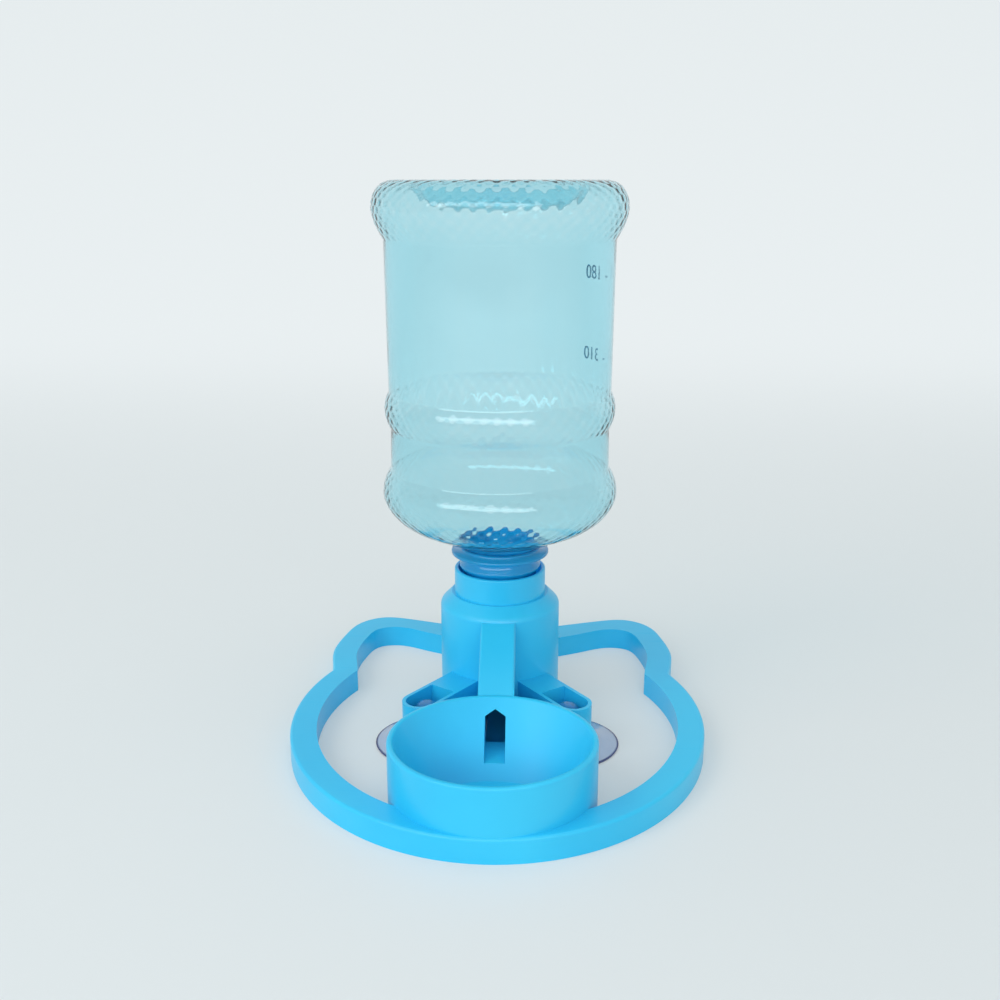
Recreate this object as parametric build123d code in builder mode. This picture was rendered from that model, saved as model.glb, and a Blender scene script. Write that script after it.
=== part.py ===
from build123d import *
import math
import os

os.makedirs("parts", exist_ok=True)

# Whole-object layout, millimetres. +Z is up, the bowl faces -Y, the floor is z = 0
# and x = 0 is the mirror plane of the base.
column_y = 22.2            # bottle and column axis
head_y = -4.8              # centre of the wide frame outline

# Floor frame: an oval hoop with two rounded lobes at the back, hollow underneath
head_half_x = 67.2
head_half_y = 73.5
frame_width = 8.4
frame_height = 7.8
frame_wall = 2.0
frame_roof = 2.2
frame_edge_round = 0.9
head_back_y = head_y + head_half_y
# lobe outlines, listed as (x, distance behind the back of the oval)
lobe_outer_shape = [(60.3, -41.7), (62.9, -24.5), (60.8, -7.3), (56.6, 3.9), (49.0, 9.3), (36.0, 7.6), (23.0, 3.2),
                    (0, 1.1)]
lobe_inner_shape = [(51.2, -42.7), (53.8, -26.7), (52.0, -11.2), (48.0, -2.7), (41.6, -1.1), (31.0, -5.3),
                    (22.0, -9.7), (0, -11.7)]
lobe_outer = [(x, head_back_y + behind) for x, behind in lobe_outer_shape]
lobe_inner = [(x, head_back_y + behind) for x, behind in lobe_inner_shape]
notch_round = 1.2
tie_width = 14.0
tie_height = 6.0
tie_inset = 0.6            # how far the bridge stops inside the frame's back edge

# Drinking bowl
bowl_half_x = 30.6
bowl_half_y = 28.2
bowl_height = 22.6
bowl_lip = 1.7
bowl_lip_round = 0.7
bowl_floor_z = 2.4
bowl_floor_half_x = 19.5
bowl_floor_half_y = 14.0
bowl_floor_forward = 3.4    # the funnel's floor lies this far in front of its rim
slot_width = 6.4
slot_sill_z = 6.6
slot_shoulder_z = 17.9
slot_peak_z = 19.6

# Water column, threaded collar and the sloping water channel to the bowl
column_radius = 20.4
column_shoulder_z = 37.4
column_shoulder_round = 2.6
shoulder_top_radius = 16.6
collar_crease_z = 41.2
collar_radius = 15.5
collar_top_z = 49.8
collar_rim_round = 0.6
chamber_radius = 18.2
chamber_roof_z = 31.6
seal_ledge_z = 34.0
ledge_bore_radius = 9.6
channel_width = 11.4
channel_bore = 7.6
channel_high_z = 36.7
channel_low_z = 22.0
channel_roof_drop = 3.0
channel_edge_round = 0.9
channel_bite = 0.8         # how far the channel runs into the bowl's wall

# Diagonal arms, each with a long pocket for a suction cup
arm_angle = 54.5           # degrees forward of the X axis, seen from the column
arm_width = 11.8
arm_height = 15.8
pocket_wall = 1.2
pocket_floor_z = 8.2
pocket_floor = 2.4
cup_hole_radius = 3.1
arm_past_cup = 8.7         # from the suction cup's stem to the arm's round end
pocket_behind_cup = 8.4    # from the suction cup's stem back to the pocket's straight end

# Bottle neck of the common 28 mm size and its screw thread
neck_radius = 12.4
neck_bore_radius = 10.87
socket_radius = 14.1
thread_pitch = 3.18
thread_turns = 1.8
thread_depth = 1.2
thread_root = 1.9
thread_crest = 0.9
thread_start_z = 38.6
thread_bury = 0.3
bead_radius = 13.75
bead_z = 51.0
support_ring_radius = 16.5
support_ring_z = 54.6
support_ring_height = 1.8
seal_height = 2.0
seal_outer_radius = 13.6
seal_inner_radius = 9.9
fit_gap = 0.05
neck_mouth_z = seal_ledge_z + seal_height + 2 * fit_gap

# Bottle body, listed as (radius, height) down the outside from neck to base
bottle_wall = 0.5
shoulder_curve = [(13.5, 57.6), (14.8, 59.4), (19.6, 61.2), (26.0, 64.0), (32.6, 67.4), (36.9, 71.6), (38.9, 76.0),
                  (38.9, 80.4), (37.4, 84.6), (36.1, 88.4)]
belt_curve = [(36.0, 98.6), (36.8, 101.0), (37.9, 105.2), (37.4, 109.2), (36.4, 112.6)]
roll_curve = [(36.8, 158.6), (38.0, 161.2), (39.8, 165.0), (40.5, 169.0), (39.7, 172.8), (37.4, 175.8), (33.4, 177.1)]
punt_curve = [(30.0, 176.6), (26.6, 174.4), (24.6, 171.4), (20.0, 169.4), (0.0, 168.6)]

# Welded closing plate under the column and the channel
plate_height = 1.8
plate_lift = 0.3
plate_gap = 0.15

# Suction cups
cup_radius = 16.6
cup_gap = 2.6              # between the disc and the column
cup_neck_radius = 2.75
cup_under = [(0.0, 2.6), (8.6, 1.8), (cup_radius - 0.3, 0.0)]
cup_top = [(cup_radius, 0.6), (cup_radius - 6.0, 2.3), (5.2, 4.4), (cup_neck_radius, 5.6)]
cup_head = [(cup_neck_radius, 8.4), (4.3, 8.7), (4.4, 10.4), (3.4, 12.8), (0.0, 14.2)]
cup_reach = column_radius + cup_gap + cup_radius
arm_reach = cup_reach + arm_past_cup
pocket_start = cup_reach - pocket_behind_cup

# The bowl lies as far forward as the two suction cups let it
bowl_nest = 5.239          # how far the bowl's back reaches in between the two discs
bowl_y = column_y - cup_reach * math.sin(math.radians(arm_angle)) - cup_radius - bowl_half_y + bowl_nest
bowl_floor_y = bowl_y - bowl_floor_forward


def arm_point(side, reach):
    """Plan position at a reach along the arm on side -1 or +1."""
    angle = math.radians(arm_angle)
    return (side * reach * math.cos(angle), column_y - reach * math.sin(angle))


def inset(points, thickness):
    """The same curve moved inward, towards the axis side of its travel."""
    moved = []
    for i, (r, z) in enumerate(points):
        r0, z0 = points[max(i - 1, 0)]
        r1, z1 = points[min(i + 1, len(points) - 1)]
        length = math.hypot(r1 - r0, z1 - z0)
        moved.append((max(r - thickness * (z1 - z0) / length, 0.0), z + thickness * (r1 - r0) / length))
    return moved


# Sloping water channel, drawn from the side, with its two long top edges rounded
channel_start_y = column_y - column_radius
channel_end_y = bowl_y + bowl_half_y
with BuildPart() as channel:
    with BuildSketch(Plane.YZ):
        with BuildLine():
            Polyline((column_y - 12, 0), (column_y - 12, channel_high_z), (channel_start_y, channel_high_z),
                     (channel_end_y, channel_low_z), (channel_end_y - channel_bite, channel_low_z - 0.4),
                     (channel_end_y - channel_bite, 0), (column_y - 12, 0))
        make_face()
    extrude(amount=channel_width / 2, both=True)
    long_edges = channel.edges().filter_by(lambda e: e.length > 20 and e.center().Z > 25 and abs(e.center().X) > 5)
    fillet(long_edges, channel_edge_round)

# Drinking bowl: an oval block with a funnel and a rounded lip
with BuildPart() as bowl:
    with BuildSketch():
        with Locations((0, bowl_y)):
            Ellipse(bowl_half_x, bowl_half_y)
    extrude(amount=bowl_height)
    with BuildSketch(Plane.XY.offset(bowl_floor_z)):
        with Locations((0, bowl_floor_y)):
            Ellipse(bowl_floor_half_x, bowl_floor_half_y)
    with BuildSketch(Plane.XY.offset(bowl_height)):
        with Locations((0, bowl_y)):
            Ellipse(bowl_half_x - bowl_lip, bowl_half_y - bowl_lip)
    loft(mode=Mode.SUBTRACT)
    fillet(bowl.edges().group_by(Axis.Z)[-1], bowl_lip_round)

# Thread ridges: one for the neck, and the same ridge turned inside out for the socket
with BuildPart() as neck_thread:
    with BuildLine():
        neck_path = Helix(thread_pitch, thread_pitch * thread_turns, neck_radius, center=(0, column_y, thread_start_z))
    with BuildSketch(Plane(neck_path @ 0, x_dir=(1, 0, 0), z_dir=neck_path % 0)):
        with BuildLine():
            Polyline((-thread_bury, -thread_root / 2), (thread_depth, -thread_crest / 2),
                     (thread_depth, thread_crest / 2), (-thread_bury, thread_root / 2),
                     (-thread_bury, -thread_root / 2))
        make_face()
    sweep(path=neck_path, is_frenet=True)

with BuildPart() as socket_thread:
    with BuildLine():
        socket_path = Helix(thread_pitch, thread_pitch * thread_turns, socket_radius,
                            center=(0, column_y, thread_start_z + thread_pitch / 2))
    with BuildSketch(Plane(socket_path @ 0, x_dir=(1, 0, 0), z_dir=socket_path % 0)):
        with BuildLine():
            Polyline((thread_bury, -thread_root / 2), (-thread_depth + 0.1, -thread_crest / 2),
                     (-thread_depth + 0.1, thread_crest / 2), (thread_bury, thread_root / 2),
                     (thread_bury, -thread_root / 2))
        make_face()
    sweep(path=socket_path, is_frenet=True)

# Base moulding: frame, bowl, column, collar, channel and both arms in one piece
with BuildPart() as base:
    # hoop: lobes joined to the oval head, then the matching window taken out
    with BuildSketch() as hoop_outline:
        with BuildLine():
            Spline(*lobe_outer, tangents=((0.1, 1), (-1, 0)))
            mirror(about=Plane.YZ)
            Line((-lobe_outer[0][0], lobe_outer[0][1]), lobe_outer[0])
        make_face()
        with Locations((0, head_y)):
            Ellipse(head_half_x, head_half_y)
        notches = hoop_outline.vertices().filter_by(lambda v: abs(v.X) > 50 and v.Y > 0)
        fillet(notches, notch_round)
    extrude(amount=frame_height)
    fillet(base.edges().group_by(Axis.Z)[-1], frame_edge_round)
    with BuildSketch() as hoop_window:
        with Locations((0, head_y)):
            Ellipse(head_half_x - frame_width, head_half_y - frame_width)
        with BuildLine():
            Spline(*lobe_inner, tangents=((0.1, 1), (-1, 0)))
            mirror(about=Plane.YZ)
            Line((-lobe_inner[0][0], lobe_inner[0][1]), lobe_inner[0])
        make_face()
    extrude(amount=frame_height, mode=Mode.SUBTRACT)
    # the hoop is open underneath like a gutter
    with BuildSketch():
        for edge_points, across, step, how in ((lobe_outer, head_half_x, frame_wall, Mode.ADD),
                                               (lobe_inner, head_half_x - frame_width, -frame_wall, Mode.SUBTRACT)):
            with Locations((0, head_y)):
                Ellipse(across - step, across - step + head_half_y - head_half_x, mode=how)
            moved = inset(edge_points, step)
            moved[-1] = (0, edge_points[-1][1] - step)
            with BuildLine():
                Spline(*moved, tangents=((0.1, 1), (-1, 0)))
                mirror(about=Plane.YZ)
                Line((-moved[0][0], moved[0][1]), moved[0])
            make_face(mode=how)
    extrude(amount=frame_height - frame_roof, mode=Mode.SUBTRACT)

    # low bridge from the back of the column to the hoop
    with BuildSketch():
        tie_end_y = lobe_outer[-1][1] - tie_inset
        with Locations((0, (column_y + tie_end_y) / 2)):
            Rectangle(tie_width, tie_end_y - column_y)
    extrude(amount=tie_height)

    # column body with its sloped shoulder, and the collar
    with BuildSketch(Plane.XZ.offset(-column_y)):
        with BuildLine():
            Polyline((0, 0), (column_radius, 0), (column_radius, column_shoulder_z),
                     (shoulder_top_radius, collar_crease_z), (collar_radius, collar_crease_z),
                     (collar_radius, collar_top_z), (0, collar_top_z), (0, 0))
        make_face()
    revolve(axis=Axis((0, column_y, 0), (0, 0, 1)))
    shoulder = base.edges().filter_by(GeomType.CIRCLE).filter_by(
        lambda e: abs(e.radius - column_radius) < 0.01 and abs(e.center().Z - column_shoulder_z) < 0.01)
    fillet(shoulder, column_shoulder_round)

    add(channel.part)

    # arms: flat-topped beams with a round outer end, raised above the suction cups
    with BuildSketch(Plane.XY.offset(pocket_floor_z - pocket_floor)):
        for side in (-1, 1):
            turn = -90 + side * (90 - arm_angle)
            with Locations(Location((0, column_y, 0), (0, 0, turn))):
                with Locations(((arm_reach - arm_width / 2 + 10) / 2, 0)):
                    Rectangle(arm_reach - arm_width / 2 - 10, arm_width)
                with Locations((arm_reach - arm_width / 2, 0)):
                    Circle(arm_width / 2)
    extrude(amount=arm_height - pocket_floor_z + pocket_floor)

    add(bowl.part)

    # pockets in the arms and the holes the suction cup stems pass through
    with BuildSketch(Plane.XY.offset(pocket_floor_z)):
        for side in (-1, 1):
            turn = -90 + side * (90 - arm_angle)
            inner = arm_width / 2 - pocket_wall
            with Locations(Location((0, column_y, 0), (0, 0, turn))):
                with Locations(((pocket_start + arm_reach - arm_width / 2) / 2, 0)):
                    Rectangle(arm_reach - arm_width / 2 - pocket_start, 2 * inner)
                with Locations((arm_reach - arm_width / 2, 0)):
                    Circle(inner)
    extrude(amount=arm_height, mode=Mode.SUBTRACT)
    with BuildSketch():
        with Locations(arm_point(-1, cup_reach), arm_point(1, cup_reach)):
            Circle(cup_hole_radius)
    extrude(amount=arm_height, mode=Mode.SUBTRACT)

    # water chamber, channel bore, gabled slot into the bowl
    with BuildSketch():
        with Locations((0, column_y)):
            Circle(chamber_radius)
    extrude(amount=chamber_roof_z, mode=Mode.SUBTRACT)
    with BuildSketch(Plane.YZ):
        with BuildLine():
            Polyline((column_y - 12, 0), (column_y - 12, channel_high_z - 8), (channel_start_y, channel_high_z - 8),
                     (channel_end_y - channel_bite, channel_low_z - channel_roof_drop), (channel_end_y - channel_bite, 0),
                     (column_y - 12, 0))
        make_face()
    extrude(amount=channel_bore / 2, both=True, mode=Mode.SUBTRACT)
    with BuildSketch(Plane.XZ.offset(-(channel_end_y - channel_bite + 0.4))):
        with BuildLine():
            Polyline((-slot_width / 2, slot_sill_z), (slot_width / 2, slot_sill_z),
                     (slot_width / 2, slot_shoulder_z), (0, slot_peak_z), (-slot_width / 2, slot_shoulder_z),
                     (-slot_width / 2, slot_sill_z))
        make_face()
    extrude(amount=18, mode=Mode.SUBTRACT)

    # threaded socket above a ledge for the seal
    with BuildSketch():
        with Locations((0, column_y)):
            Circle(ledge_bore_radius)
    extrude(amount=collar_top_z, mode=Mode.SUBTRACT)
    with BuildSketch(Plane.XY.offset(seal_ledge_z)):
        with Locations((0, column_y)):
            Circle(socket_radius)
    extrude(amount=collar_top_z, mode=Mode.SUBTRACT)
    mouth = base.edges().filter_by(GeomType.CIRCLE).filter_by(lambda e: abs(e.center().Z - collar_top_z) < 0.01)
    fillet(mouth, collar_rim_round)
    add(socket_thread.part)
base.part.label = "base_moulding"
export_step(base.part, "parts/base_moulding.step")

# Closing plate that makes the column and the channel water-tight from below
with BuildPart() as plate:
    with BuildSketch(Plane.XY.offset(plate_lift)):
        with Locations((0, column_y)):
            Circle(chamber_radius - plate_gap)
        tongue_end = channel_end_y - channel_bite + plate_gap
        with Locations((0, (column_y + tongue_end) / 2)):
            Rectangle(channel_bore - 2 * plate_gap, column_y - tongue_end)
    extrude(amount=plate_height)
plate.part.label = "chamber_floor_plate"
export_step(plate.part, "parts/chamber_floor_plate.step")

# Flat sealing washer at the bottom of the threaded socket
with BuildPart() as seal:
    with BuildSketch(Plane.XY.offset(seal_ledge_z + fit_gap)):
        with Locations((0, column_y)):
            Circle(seal_outer_radius)
            Circle(seal_inner_radius, mode=Mode.SUBTRACT)
    extrude(amount=seal_height)
    fillet(seal.edges(), 0.3)
seal.part.label = "bottle_seal"
export_step(seal.part, "parts/bottle_seal.step")

# Bottle, hanging neck down: outside curve up, over the base, and back down the inside
with BuildPart() as bottle:
    with BuildSketch(Plane.XZ.offset(-column_y)):
        with BuildLine():
            ring_top = support_ring_z + support_ring_height
            Polyline((neck_bore_radius, neck_mouth_z), (neck_radius, neck_mouth_z), (neck_radius, bead_z - 1.6),
                     (bead_radius, bead_z - 0.7), (bead_radius, bead_z + 0.5), (neck_radius + 0.5, bead_z + 1.0),
                     (neck_radius + 0.5, support_ring_z), (support_ring_radius, support_ring_z + 0.5),
                     (support_ring_radius, ring_top - 0.4), (shoulder_curve[0][0], ring_top), shoulder_curve[0])
            Spline(*shoulder_curve)
            Line(shoulder_curve[-1], belt_curve[0])
            Spline(*belt_curve)
            Line(belt_curve[-1], roll_curve[0])
            Spline(*(roll_curve + punt_curve), tangents=((0.35, 1), (-1, 0)))
            inner_punt = inset(roll_curve + punt_curve, bottle_wall)[::-1]
            inner_belt = inset(belt_curve, bottle_wall)[::-1]
            inner_shoulder = inset(shoulder_curve, bottle_wall)[::-1]
            inner_punt[0] = (0.0, punt_curve[-1][1] - bottle_wall)
            inner_shoulder[-1] = (neck_bore_radius + 1.2, shoulder_curve[0][1] + 1.0)
            Line(punt_curve[-1], inner_punt[0])
            Spline(*inner_punt, tangents=((1, 0), (-0.35, -1)))
            Line(inner_punt[-1], inner_belt[0])
            Spline(*inner_belt)
            Line(inner_belt[-1], inner_shoulder[0])
            Spline(*inner_shoulder)
            Polyline(inner_shoulder[-1], (neck_bore_radius, ring_top - 1), (neck_bore_radius, neck_mouth_z))
        make_face()
    revolve(axis=Axis((0, column_y, 0), (0, 0, 1)))
    add(neck_thread.part)
bottle.part.label = "bottle"
export_step(bottle.part, "parts/bottle.step")

# Two suction cups, stems up through the pocket floors
for side, side_name in ((-1, "left"), (1, "right")):
    cup_x, cup_y = arm_point(side, cup_reach)
    with BuildPart() as cup:
        with BuildSketch(Plane.XZ):
            with BuildLine():
                Spline(*cup_under)
                Line(cup_under[-1], cup_top[0])
                Spline(*cup_top)
                Line(cup_top[-1], cup_head[0])
                Line(cup_head[0], cup_head[1])
                Spline(*cup_head[1:], tangents=((0, 1), (-1, 0)))
                Line(cup_head[-1], cup_under[0])
            make_face()
        revolve(axis=Axis.Z)
    placed = cup.part.moved(Location((cup_x, cup_y, 0)))
    placed.label = "suction_cup_" + side_name
    export_step(placed, "parts/suction_cup_" + side_name + ".step")
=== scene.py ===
"""A gravity pet water dispenser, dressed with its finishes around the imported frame."""
import math
import bmesh
import bpy
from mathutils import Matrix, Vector, noise


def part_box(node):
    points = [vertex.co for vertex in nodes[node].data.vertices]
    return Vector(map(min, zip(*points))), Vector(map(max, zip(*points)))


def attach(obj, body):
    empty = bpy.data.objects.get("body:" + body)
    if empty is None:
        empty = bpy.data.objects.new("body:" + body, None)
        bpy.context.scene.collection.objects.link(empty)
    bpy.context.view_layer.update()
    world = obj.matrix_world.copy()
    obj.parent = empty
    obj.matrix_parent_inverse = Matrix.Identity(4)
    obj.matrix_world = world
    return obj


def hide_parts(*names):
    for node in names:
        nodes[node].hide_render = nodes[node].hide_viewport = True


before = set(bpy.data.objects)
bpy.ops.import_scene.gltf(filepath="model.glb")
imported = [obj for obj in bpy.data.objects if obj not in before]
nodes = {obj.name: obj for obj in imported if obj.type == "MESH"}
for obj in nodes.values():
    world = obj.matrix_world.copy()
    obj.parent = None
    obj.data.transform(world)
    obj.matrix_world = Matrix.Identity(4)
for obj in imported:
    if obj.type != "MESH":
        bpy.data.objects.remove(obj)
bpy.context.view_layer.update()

# The place the dispenser stands in: a pale table top that sweeps up into a pale wall.
# The camera looks down from the front, a little to the right of the mirror plane.

camera_place = (0.01075, -0.3399, 0.1775)
camera_pitch = 16.06
camera_yaw = 1.7
lens_mm = 40.25
sensor_mm = 36
sweep_half_width = 3.0
sweep_front_y = -2.5
sweep_back_y = 1.5
sweep_height = 3.0
sweep_bend = 0.8
sweep_bend_rows = 24
sweep_colour = (0.765, 0.810, 0.820, 1)
sweep_near_glow = (0.680, 0.745, 0.750, 1)
sweep_far_glow = (0.850, 0.900, 0.915, 1)
glow_start_y = -0.35
glow_end_y = 0.9
glow_near_share = 0.18
glow_far_share = 0.70
wall_fade = 0.35
wall_fade_most = 0.45
room_colour = (0.96, 0.985, 1.0, 1)
room_strength = 0.62


class Shade:
    """One output of a shader node; sums written on it add Math nodes."""

    def __init__(self, tree, socket=None):
        self.tree = tree
        self.socket = socket

    def node(self, kind, settings={}, inputs={}, output=0):
        made = self.tree.nodes.new("ShaderNode" + kind)
        for name, value in settings.items():
            if name == "stops":
                while len(made.color_ramp.elements) < len(value):
                    made.color_ramp.elements.new(0.5)
                for element, (place, level) in zip(made.color_ramp.elements, value):
                    element.position = place
                    element.color = (level, level, level, 1)
            else:
                setattr(made, name, value)
        for name, value in inputs.items():
            if isinstance(value, Shade):
                self.tree.links.new(value.socket, made.inputs[name])
            else:
                made.inputs[name].default_value = value
        return Shade(self.tree, made.outputs[output] if len(made.outputs) else None)

    def math(self, operation, first, second):
        return self.node("Math", {"operation": operation}, {0: first, 1: second})

    def __add__(self, other):
        return self.math("ADD", self, other)

    def __sub__(self, other):
        return self.math("SUBTRACT", self, other)

    def __mul__(self, other):
        return self.math("MULTIPLY", self, other)

    __radd__ = __add__
    __rmul__ = __mul__


def new_finish(name):
    """An empty material and the shade its nodes are made from."""
    material = bpy.data.materials.new(name)
    material.use_nodes = True
    material.node_tree.nodes.clear()
    return material, Shade(material.node_tree)


def mesh_piece(name, bm, finish, smooth=True):
    """An object made from a finished bmesh."""
    mesh = bpy.data.meshes.new(name)
    bm.to_mesh(mesh)
    bm.free()
    mesh.materials.append(finish)
    for face in mesh.polygons:
        face.use_smooth = smooth
    piece = bpy.data.objects.new(name, mesh)
    bpy.context.scene.collection.objects.link(piece)
    return piece


# Painted light: to camera, mirror and see-through rays the sweep partly glows instead of being lit,
# dimmer in front, brighter towards the back and dimmer again up the wall.
sweep_finish, table = new_finish("pale_sweep")
table_place = table.node("TexCoord", output=3)
table_spot = table.node("SeparateXYZ", {}, {0: table_place}, 1)
table_height = table.node("SeparateXYZ", {}, {0: table_place}, 2)
table_back = table.node("MapRange", {"interpolation_type": "SMOOTHSTEP"}, {
    "Value": table_spot, "From Min": glow_start_y, "From Max": glow_end_y})
table_fade = table_back - table.math("MINIMUM", table_height * wall_fade, wall_fade_most)
table_glow = table.node("Mix", {"data_type": "RGBA"}, {
    "Factor": table_fade, 6: sweep_near_glow, 7: sweep_far_glow}, 2)
table_mirrored = table.math(
    "MAXIMUM", table.node("LightPath", output=3), table.node("LightPath", output=6))
table_seen = table.math("MAXIMUM", table.node("LightPath"), table_mirrored)
table_paint = table.node("BsdfDiffuse", {}, {"Color": sweep_colour})
table_shine = table.node("Emission", {}, {"Color": table_glow, "Strength": 1.0})
table_mix = table.node("MixShader", {}, {
    "Fac": table_seen * (table_back * glow_far_share + glow_near_share),
    1: table_paint, 2: table_shine})
table.node("OutputMaterial", {}, {"Surface": table_mix})

sweep = bmesh.new()
front_edge = [sweep.verts.new((x, sweep_front_y, 0)) for x in (-sweep_half_width, sweep_half_width)]
table_edge = sweep.edges.new(front_edge)
for sweep_stretch in ((0, sweep_back_y - sweep_front_y, 0), (0, 0, sweep_height)):
    drawn = bmesh.ops.extrude_edge_only(sweep, edges=[table_edge])["geom"]
    drawn_verts = [g for g in drawn if isinstance(g, bmesh.types.BMVert)]
    bmesh.ops.translate(sweep, verts=drawn_verts, vec=sweep_stretch)
    table_edge = [g for g in drawn if isinstance(g, bmesh.types.BMEdge) and len(g.link_faces) == 1
                  and abs(g.verts[0].co.x - g.verts[1].co.x) > sweep_half_width][0]
corner = [e for e in sweep.edges
          if all(abs(v.co.y - sweep_back_y) < 1e-4 and v.co.z < 1e-4 for v in e.verts)]
bmesh.ops.bevel(sweep, geom=corner, offset=sweep_bend, segments=sweep_bend_rows, profile=0.5,
                affect="EDGES", material=-1)
bmesh.ops.recalc_face_normals(sweep, faces=sweep.faces)
mesh_piece("table_sweep", sweep, sweep_finish)

room = bpy.data.worlds.new("pale_room")
room.use_nodes = True
room.node_tree.nodes["Background"].inputs["Color"].default_value = room_colour
room.node_tree.nodes["Background"].inputs["Strength"].default_value = room_strength
bpy.context.scene.world = room

# name, place, aimed at, width, height, watts, seen in reflections
soft_lamps = (
    ("key_left", (-0.75, -0.45, 0.85), (0, 0, 0.06), 0.60, 0.60, 2.8, False),
    ("front_strip", (-0.26, -1.10, 0.48), (0, 0.02, 0.10), 2.56, 0.280, 7.6, True),
    ("top_fill", (0.10, -0.10, 1.30), (0, 0, 0.05), 0.90, 0.90, 2.2, False),
)
for (lamp_name, lamp_place, lamp_aim, lamp_width, lamp_height, lamp_watts,
     lamp_seen) in soft_lamps:
    lamp_light = bpy.data.lights.new(lamp_name, "AREA")
    lamp_light.shape = "RECTANGLE"
    lamp_light.size = lamp_width
    lamp_light.size_y = lamp_height
    lamp_light.energy = lamp_watts
    lamp = bpy.data.objects.new(lamp_name, lamp_light)
    lamp.location = lamp_place
    lamp.visible_glossy = lamp.visible_transmission = lamp_seen
    lamp_way = Vector(lamp_aim) - Vector(lamp_place)
    lamp.rotation_euler = lamp_way.to_track_quat("-Z", "Y").to_euler()
    bpy.context.scene.collection.objects.link(lamp)

camera_data = bpy.data.cameras.new("front_camera")
camera_data.sensor_width = sensor_mm
camera_data.lens = lens_mm
camera = bpy.data.objects.new("front_camera", camera_data)
camera.location = camera_place
camera.rotation_euler = (math.radians(90 - camera_pitch), 0, math.radians(camera_yaw))
bpy.context.scene.collection.objects.link(camera)
bpy.context.scene.camera = camera
bpy.context.scene.view_settings.view_transform = "Standard"

# Base moulding: frame, bowl, water channel, column, collar and arms, injected in one go
# in sky-blue plastic. Its skin is satin with a fine mould grain, and softly scuffed.

base_blue = (0.030, 0.585, 0.910, 1)
base_blue_deep = (0.020, 0.530, 0.865, 1)
base_roughness = 0.38
base_grain_depth = 0.000020
base_coat = 0.12
scuff_turn = (0.4, 0.3, 0.7)
scuff_scale = (40, 900, 900)
cloud_roughness = 0.08
scuff_roughness = 0.10
flow_height = 2.0


def moulded_plastic(name, light, deep, roughness, grain_depth, coat):
    """Moulded plastic: clouded colour, a fine grain, and long faint scuffs."""
    material, shade = new_finish(name)
    place = shade.node("TexCoord", output=3)
    cloud = shade.node("TexNoise", {}, {"Vector": place, "Scale": 24.0, "Detail": 4.0})
    tint = shade.node("ValToRGB", {"stops": ((0.35, 0.0), (0.65, 1.0))}, {"Fac": cloud})
    colour = shade.node("Mix", {"data_type": "RGBA"}, {"Factor": tint, 6: deep, 7: light}, 2)
    drawn = shade.node("Mapping", {}, {
        "Vector": place, "Rotation": scuff_turn, "Scale": scuff_scale})
    scuff = shade.node("TexNoise", {}, {"Vector": drawn, "Scale": 1.0, "Detail": 3.0})
    scuff_mask = shade.node("ValToRGB", {"stops": ((0.60, 0.0), (0.72, 1.0))}, {"Fac": scuff})
    grain = shade.node("TexNoise", {}, {"Vector": place, "Scale": 1500.0, "Detail": 2.0})
    flow = shade.node("TexNoise", {}, {"Vector": place, "Scale": 90.0, "Detail": 2.0})
    rough = cloud * cloud_roughness + scuff_mask * scuff_roughness + (roughness - 0.05)
    bump = shade.node("Bump", {}, {
        "Strength": 0.55, "Distance": grain_depth, "Height": grain + flow * flow_height})
    skin = shade.node("BsdfPrincipled", {}, {
        "Base Color": colour, "Roughness": rough, "Normal": bump, "IOR": 1.49,
        "Coat Weight": coat, "Coat Roughness": 0.12})
    shade.node("OutputMaterial", {}, {"Surface": skin})
    return material


def dress(node_name, finish):
    """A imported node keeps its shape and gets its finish."""
    node = nodes[node_name]
    node.data.materials.clear()
    node.data.materials.append(finish)
    return node


base_finish = moulded_plastic(
    "satin_sky_blue", base_blue, base_blue_deep, base_roughness, base_grain_depth, base_coat)
dress("base_moulding", base_finish)

# Chamber floor plate: the closing plate welded in under the column and the channel.
# Same blue plastic as the base, but a flat pressed sheet with a rougher skin.

plate_blue_deep = (0.015, 0.46, 0.78, 1)
plate_roughness = 0.46
plate_grain_depth = 0.000035
plate_coat = 0.0

plate_finish = moulded_plastic(
    "rough_sky_blue", base_blue_deep, plate_blue_deep, plate_roughness, plate_grain_depth,
    plate_coat)
dress("chamber_floor_plate", plate_finish)

# Bottle seal: a milky silicone washer that lies at the bottom of the threaded socket.
# It is soft, slightly see-through and has a dusty skin.

seal_dull = (0.66, 0.70, 0.72, 1)
seal_pale = (0.80, 0.84, 0.86, 1)

seal_finish, seal_shade = new_finish("milky_silicone")
seal_place = seal_shade.node("TexCoord", output=3)
seal_dust = seal_shade.node("TexNoise", {}, {"Vector": seal_place, "Scale": 700.0, "Detail": 3.0})
seal_colour = seal_shade.node("Mix", {"data_type": "RGBA"}, {
    "Factor": seal_dust, 6: seal_dull, 7: seal_pale}, 2)
seal_bump = seal_shade.node("Bump", {}, {
    "Strength": 0.4, "Distance": 0.00003, "Height": seal_dust})
seal_skin = seal_shade.node("BsdfPrincipled", {}, {
    "Base Color": seal_colour, "Roughness": seal_dust * 0.2 + 0.42, "Normal": seal_bump,
    "IOR": 1.41, "Subsurface Weight": 0.3, "Subsurface Scale": 0.002})
seal_shade.node("OutputMaterial", {}, {"Surface": seal_skin})
dress("bottle_seal", seal_finish)

# Bottle: one clear blue-green bottle, blown with a thin wall and a moulded screw neck.
# Its base roll, its belt and its shoulder are dimpled outside like hammered glass, and
# the inside is nearly smooth.

axis_y = 0.0222
bottle_wall = 0.0005
bottle_steps = 328
fine_step = 0.00078
punt_step = 0.0022
crease_hold = 0.0004
weld_gap = 0.000002
neck_bore = 0.01087
neck_inside_top = 0.0568
neck_top_z = 0.0572

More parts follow.
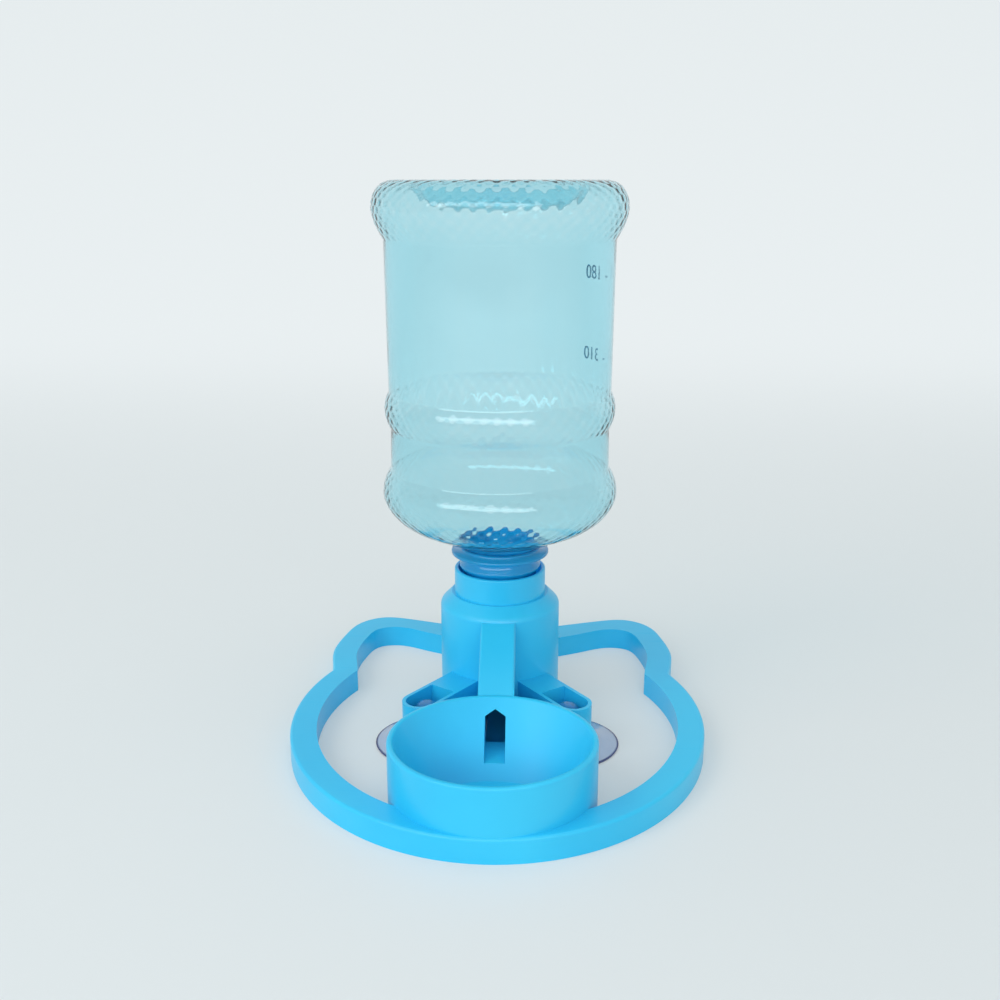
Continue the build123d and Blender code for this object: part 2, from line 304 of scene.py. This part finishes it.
# the outline from the mouth up, as radius and height
neck_outline = (
    (0.01240, 0.0361), (0.01240, 0.0494), (0.01375, 0.0503), (0.01375, 0.0515),
    (0.01290, 0.0520), (0.01290, 0.0546), (0.01290, 0.0548), (0.01600, 0.0549),
    (0.01650, 0.0552), (0.01650, 0.0559), (0.01620, 0.0563), (0.01350, 0.0564))
shoulder_outline = (
    (0.0135, 0.0576), (0.0148, 0.0594), (0.0196, 0.0612), (0.0260, 0.0640), (0.0326, 0.0674),
    (0.0369, 0.0716), (0.0388, 0.0757), (0.0388, 0.0793), (0.0378, 0.0826), (0.0362, 0.0855))
belt_outline = (
    (0.0360, 0.0990), (0.0371, 0.1012), (0.0379, 0.1048), (0.0375, 0.1083), (0.0364, 0.1110))
roll_outline = (
    (0.0368, 0.1590), (0.0381, 0.1612), (0.0398, 0.1650), (0.0405, 0.1690), (0.0397, 0.1728),
    (0.0374, 0.1758), (0.0334, 0.1771), (0.0300, 0.1766))
punt_outline = ((0.0266, 0.1744), (0.0246, 0.1714), (0.0200, 0.1694), (0.0, 0.1686))

dimple_depth = 0.00030
dimple_inside = 0.15
dimple_shoulder = 0.85
dimple_punt = 0.25
dimple_edge = 0.35
dimple_neck_start = 0.8
dimple_neck_growth = 3.0
dimples_round = 54
dimple_slant = 2.0
dimple_rise = 0.00220
dimple_sway_scale = 90
dimple_sway_round = 2.2
dimple_sway_up = 1.6
dimple_swell_scale = 260
dimple_free_radius = 0.004
roll_top_z = 0.175
roll_top_lift = 1.5

thread_root = 0.0124
thread_pitch = 0.00318
thread_turns = 1.8
thread_start_z = 0.0386
thread_profile = ((-0.0003, -0.00095), (0.0012, -0.00045), (0.0012, 0.00045), (-0.0003, 0.00095))
thread_steps = 150


def drawn_line(points, step):
    """Points an even step apart along a flexible line laid through the given ones."""
    line = bpy.data.curves.new("drawn_line", "CURVE")
    line.dimensions = "3D"
    line.resolution_u = 24
    spline = line.splines.new("BEZIER")
    spline.bezier_points.add(len(points) - 1)
    for bezier, (radius, height) in zip(spline.bezier_points, points):
        bezier.co = (radius, 0, height)
        bezier.handle_left_type = bezier.handle_right_type = "AUTO"
    holder = bpy.data.objects.new("drawn_line", line)
    laid = bpy.data.meshes.new_from_object(holder)
    trail = [v.co.xz for v in laid.vertices]
    bpy.data.objects.remove(holder)
    bpy.data.meshes.remove(laid)
    total = sum((b - a).length for a, b in zip(trail, trail[1:]))
    gap = total / max(1, round(total / step))
    kept, walked = [trail[0]], 0.0
    for a, b in zip(trail, trail[1:]):
        length = (b - a).length
        while (length > 0 and walked + length >= gap * len(kept) - 1e-9
               and len(kept) * gap < total - gap / 2):
            kept.append(a.lerp(b, (gap * len(kept) - walked) / length))
        walked += length
    return kept + [trail[-1]]


def straight_line(start, end, rows):
    """Points along a straight stretch, with one close to each end to hold its crease."""
    start, end = Vector(start), Vector(end)
    hold = crease_hold / (end - start).length
    shares = [hold] + [row / rows for row in range(1, rows)] + [1 - hold]
    return [start.lerp(end, share) for share in shares]


# each stretch of the outline from the mouth up, and how deep its dimples are
shoulder_line = drawn_line(shoulder_outline, fine_step)
bottle_stretches = (
    ([Vector(spot) for spot in neck_outline], 0.0),
    (shoulder_line, dimple_shoulder),
    (straight_line(shoulder_outline[-1], belt_outline[0], 3), 0.0),
    (drawn_line(belt_outline, fine_step), 1.0),
    (straight_line(belt_outline[-1], roll_outline[0], 5), 0.0),
    (drawn_line(roll_outline, fine_step), 1.0),
    (drawn_line((roll_outline[-1],) + punt_outline, punt_step)[1:], dimple_punt),
)
outline, depths = [], []
for stretch, deep in bottle_stretches:
    for number, spot in enumerate(stretch):
        outline.append(spot)
        far = number / len(stretch)
        grown = 1.0
        if stretch is shoulder_line:
            grown = min(1.0, max(0.0, dimple_neck_growth * far - dimple_neck_start))
        depths.append(deep * math.sin(math.pi * far) ** dimple_edge * grown if deep else 0.0)
inside = []
for number, spot in enumerate(outline):
    along = outline[min(number + 1, len(outline) - 1)] - outline[max(number - 1, 0)]
    inner = spot + Vector((-along.y, along.x)).normalized() * bottle_wall
    if spot.y < neck_inside_top:
        inner = Vector((neck_bore, spot.y))
    inside.append(Vector((max(inner.x, 0.0), inner.y)))

blown = bmesh.new()
run_layer = blown.verts.layers.float.new("run")
deep_layer = blown.verts.layers.float.new("deep")
ring = []
run = 0.0
for number, spot in enumerate(outline):
    run += (spot - outline[max(number - 1, 0)]).length
    for wall_spot, share in ((spot, 1.0), (inside[number], dimple_inside)):
        vert = blown.verts.new((wall_spot.x, 0, wall_spot.y))
        vert[run_layer] = run
        vert[deep_layer] = depths[number] * share
        ring.append(vert)
outer_row, inner_row = ring[0::2], ring[1::2]
outline_edges = [blown.edges.new(pair)
                 for row in (outer_row, inner_row) for pair in zip(row, row[1:])]
outline_edges.append(blown.edges.new((outer_row[0], inner_row[0])))
bmesh.ops.spin(blown, geom=ring + outline_edges, axis=(0, 0, 1), cent=(0, 0, 0),
               angle=math.tau, steps=bottle_steps, use_merge=True)
bmesh.ops.remove_doubles(blown, verts=blown.verts, dist=weld_gap)
for vert in blown.verts:
    deep = vert[deep_layer]
    if deep <= 0 or vert.co.xy.length < dimple_free_radius:
        continue
    around = math.atan2(vert.co.y, vert.co.x)
    sway = noise.noise(vert.co * dimple_sway_scale)
    swell = 0.75 + 0.5 * noise.noise(vert.co * dimple_swell_scale)
    rise = vert[run_layer] / dimple_rise * math.pi
    wave = (math.cos(around * dimples_round + sway * dimple_sway_round)
            * math.cos(rise + sway * dimple_sway_up + dimple_slant * around))
    outward = Vector((vert.co.x, vert.co.y, 0)).normalized()
    if vert.co.z > roll_top_z:
        outward = (outward + Vector((0, 0, roll_top_lift))).normalized()
    vert.co -= outward * dimple_depth * deep * swell * (0.5 - 0.5 * wave)
bmesh.ops.recalc_face_normals(blown, faces=blown.faces)

wound = bmesh.new()
ridge = [wound.verts.new((thread_root + out, 0, thread_start_z + up)) for out, up in thread_profile]
ridge_loop = [wound.edges.new((ridge[k], ridge[(k + 1) % 4])) for k in range(4)]
bmesh.ops.spin(wound, geom=ridge + ridge_loop, axis=(0, 0, 1), cent=(0, 0, 0),
               angle=math.tau * thread_turns, steps=thread_steps,
               dvec=(0, 0, thread_pitch * thread_turns / thread_steps))
bmesh.ops.holes_fill(wound, edges=[e for e in wound.edges if e.is_boundary], sides=4)
wound_mesh = bpy.data.meshes.new("screw_thread")
wound.to_mesh(wound_mesh)
wound.free()
blown.from_mesh(wound_mesh)
bpy.data.meshes.remove(wound_mesh)
bmesh.ops.recalc_face_normals(blown, faces=blown.faces)
bmesh.ops.translate(blown, verts=blown.verts, vec=(0, axis_y, 0))

clear_grey = (0.94, 0.985, 0.995, 1)
clear_white = (0.99, 1.0, 1.0, 1)
clear_depth_tint = (0.20, 0.80, 0.90, 1)
clear_density = 770.0
clear_shadow_tint = (0.80, 0.95, 0.985, 1)
neck_painted_collar_blue = (0.01, 0.50, 0.90, 1)
neck_painted_blue_share = 0.75
neck_blend = 0.001

bottle_finish, clear = new_finish("clear_blue_green")
clear_place = clear.node("TexCoord", output=3)
clear_drawn = clear.node("Mapping", {}, {
    "Vector": clear_place, "Location": (0, -axis_y, 0), "Scale": (150, 150, 6)})
clear_streak = clear.node("TexNoise", {}, {"Vector": clear_drawn, "Scale": 1.0, "Detail": 2.0})
clear_ripple = clear.node("TexNoise", {}, {"Vector": clear_place, "Scale": 260.0, "Detail": 2.0})
clear_colour = clear.node("Mix", {"data_type": "RGBA"}, {
    "Factor": clear_streak, 6: clear_grey, 7: clear_white}, 2)
clear_bump = clear.node("Bump", {}, {
    "Strength": 0.25, "Distance": 0.00008, "Height": clear_streak + clear_ripple * 0.5})
clear_skin = clear.node("BsdfPrincipled", {}, {
    "Base Color": clear_colour, "Roughness": clear_ripple * 0.04, "Normal": clear_bump,
    "IOR": 1.50, "Transmission Weight": 1.0})
# Painted reflection: the neck and its ring, up to neck_top_z, are mostly painted in the blue of the
# collar around them, as it is seen through and reflected in the thick plastic.
clear_height = clear.node("SeparateXYZ", {}, {0: clear_place}, 2)
clear_neck = clear.node("MapRange", {}, {
    "Value": clear_height, "From Min": neck_top_z + neck_blend, "From Max": neck_top_z})
clear_painted_neck_blue = clear.node("BsdfPrincipled", {}, {
    "Base Color": neck_painted_collar_blue, "Roughness": 0.10, "IOR": 1.50, "Transmission Weight": 0.25})
clear_body = clear.node("MixShader", {}, {
    "Fac": clear_neck * neck_painted_blue_share, 1: clear_skin, 2: clear_painted_neck_blue})
clear_shadow = clear.node("BsdfTransparent", {}, {"Color": clear_shadow_tint})
clear_mix = clear.node("MixShader", {}, {
    "Fac": clear.node("LightPath", output=1), 1: clear_body, 2: clear_shadow})
clear_depth = clear.node("VolumeAbsorption", {}, {
    "Color": clear_depth_tint, "Density": clear_density})
clear.node("OutputMaterial", {}, {"Surface": clear_mix, "Volume": clear_depth})

bottle_piece = mesh_piece("blown_bottle", blown, bottle_finish)
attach(bottle_piece, "bottle_body")
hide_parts("bottle")

# Level marks: a short dash and a plain number of millilitres, moulded just proud of the
# bottle's back and inked in dark teal, so that they show through it from the front.

mark_size = 0.0062
mark_relief = 0.00012
mark_turn = 27.0
mark_gap = 0.00004
mark_weld_gap = 0.000005
mark_heights = (("180", 0.1470), ("310", 0.1199))
wall_low_radius, wall_low_z = 0.0364, 0.1126
wall_high_radius, wall_high_z = 0.0368, 0.1586
ink_deep = (0.01, 0.16, 0.27, 1)
ink_worn = (0.03, 0.26, 0.38, 1)

mark_finish, ink = new_finish("teal_ink")
ink_place = ink.node("TexCoord", output=3)
ink_wear = ink.node("TexNoise", {}, {"Vector": ink_place, "Scale": 1400.0, "Detail": 2.0})
ink_colour = ink.node("Mix", {"data_type": "RGBA"}, {
    "Factor": ink_wear, 6: ink_deep, 7: ink_worn}, 2)
ink_skin = ink.node("BsdfPrincipled", {}, {
    "Base Color": ink_colour, "Roughness": ink_wear * 0.2 + 0.35})
ink.node("OutputMaterial", {}, {"Surface": ink_skin})

for mark_words, mark_z in mark_heights:
    mark_curve = bpy.data.curves.new("mark_line", "FONT")
    mark_curve.body = "-  " + mark_words
    mark_curve.size = mark_size
    mark_curve.align_x = "CENTER"
    mark_curve.align_y = "CENTER"
    mark_curve.extrude = mark_relief / 2
    mark_holder = bpy.data.objects.new("mark_line", mark_curve)
    mark_mesh = bpy.data.meshes.new_from_object(mark_holder)
    bpy.data.objects.remove(mark_holder)
    mark = bmesh.new()
    mark.from_mesh(mark_mesh)
    bmesh.ops.remove_doubles(mark, verts=mark.verts, dist=mark_weld_gap)
    mark_rise = (mark_z - wall_low_z) / (wall_high_z - wall_low_z)
    mark_radius = wall_low_radius + mark_rise * (wall_high_radius - wall_low_radius)
    for vert in mark.verts:
        turn = math.radians(mark_turn) + vert.co.x / mark_radius
        reach = mark_radius + mark_gap + mark_relief / 2 + vert.co.z
        vert.co = Vector((
            reach * math.cos(turn), axis_y + reach * math.sin(turn), mark_z + vert.co.y))
    mark_piece = mesh_piece("level_mark_" + mark_words, mark, mark_finish, smooth=False)
    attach(mark_piece, "bottle_body")

# Suction cups: two soft discs of clear lilac vinyl, their stems pushed up through the
# pocket floors. Painted shade darkens the disc's rim, and the head is painted the pocket's blue.

cup_rim_start = 0.0158
cup_rim_end = 0.0163
cup_head_z = 0.0045
cup_head_blend = 0.0005
vinyl_deep = (0.66, 0.79, 1.0, 1)
vinyl_pale = (0.76, 0.86, 1.0, 1)
vinyl_head_painted_pocket_blue = (0.08, 0.46, 0.86, 1)
vinyl_painted_rim_shade = (0.02, 0.05, 0.26, 1)

for side in ("left", "right"):
    vinyl_finish, vinyl = new_finish("lilac_vinyl_" + side)
    low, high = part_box("suction_cup_" + side)
    vinyl_place = vinyl.node("TexCoord", output=3)
    vinyl_centre = vinyl.node("VectorMath", {"operation": "SUBTRACT"}, {
        0: vinyl_place, 1: ((low.x + high.x) / 2, (low.y + high.y) / 2, 0)})
    vinyl_flat = vinyl.node("VectorMath", {"operation": "MULTIPLY"}, {
        0: vinyl_centre, 1: (1, 1, 0)})
    vinyl_reach = vinyl.node("VectorMath", {"operation": "LENGTH"}, {0: vinyl_flat}, 1)
    # Painted shade: a thin dark ring of colour at the disc's edge, where the clear vinyl looks dark
    # against the floor.
    vinyl_rim_shade_mask = vinyl.node("MapRange", {}, {
        "Value": vinyl_reach, "From Min": cup_rim_start, "From Max": cup_rim_end})
    vinyl_haze = vinyl.node("TexNoise", {}, {"Vector": vinyl_place, "Scale": 160.0, "Detail": 3.0})
    vinyl_body = vinyl.node("Mix", {"data_type": "RGBA"}, {
        "Factor": vinyl_haze, 6: vinyl_deep, 7: vinyl_pale}, 2)
    vinyl_height = vinyl.node("SeparateXYZ", {}, {0: vinyl_place}, 2)
    # Painted reflection: above cup_head_z the stem and head are painted in the blue of the pocket
    # walls around them, as seen through and reflected in the clear vinyl.
    vinyl_head = vinyl.node("MapRange", {}, {
        "Value": vinyl_height, "From Min": cup_head_z - cup_head_blend, "From Max": cup_head_z})
    vinyl_haze_and_painted_blue = vinyl.node("Mix", {"data_type": "RGBA"}, {
        "Factor": vinyl_head, 6: vinyl_body, 7: vinyl_head_painted_pocket_blue}, 2)
    vinyl_colour = vinyl.node("Mix", {"data_type": "RGBA"}, {
        "Factor": vinyl_rim_shade_mask, 6: vinyl_haze_and_painted_blue, 7: vinyl_painted_rim_shade}, 2)
    vinyl_bump = vinyl.node("Bump", {}, {
        "Strength": 0.25, "Distance": 0.00004, "Height": vinyl_haze})
    vinyl_skin = vinyl.node("BsdfPrincipled", {}, {
        "Base Color": vinyl_colour, "Roughness": vinyl_haze * 0.08 + 0.05,
        "Normal": vinyl_bump, "IOR": 1.45, "Transmission Weight": 0.60})
    vinyl.node("OutputMaterial", {}, {"Surface": vinyl_skin})
    dress("suction_cup_" + side, vinyl_finish)
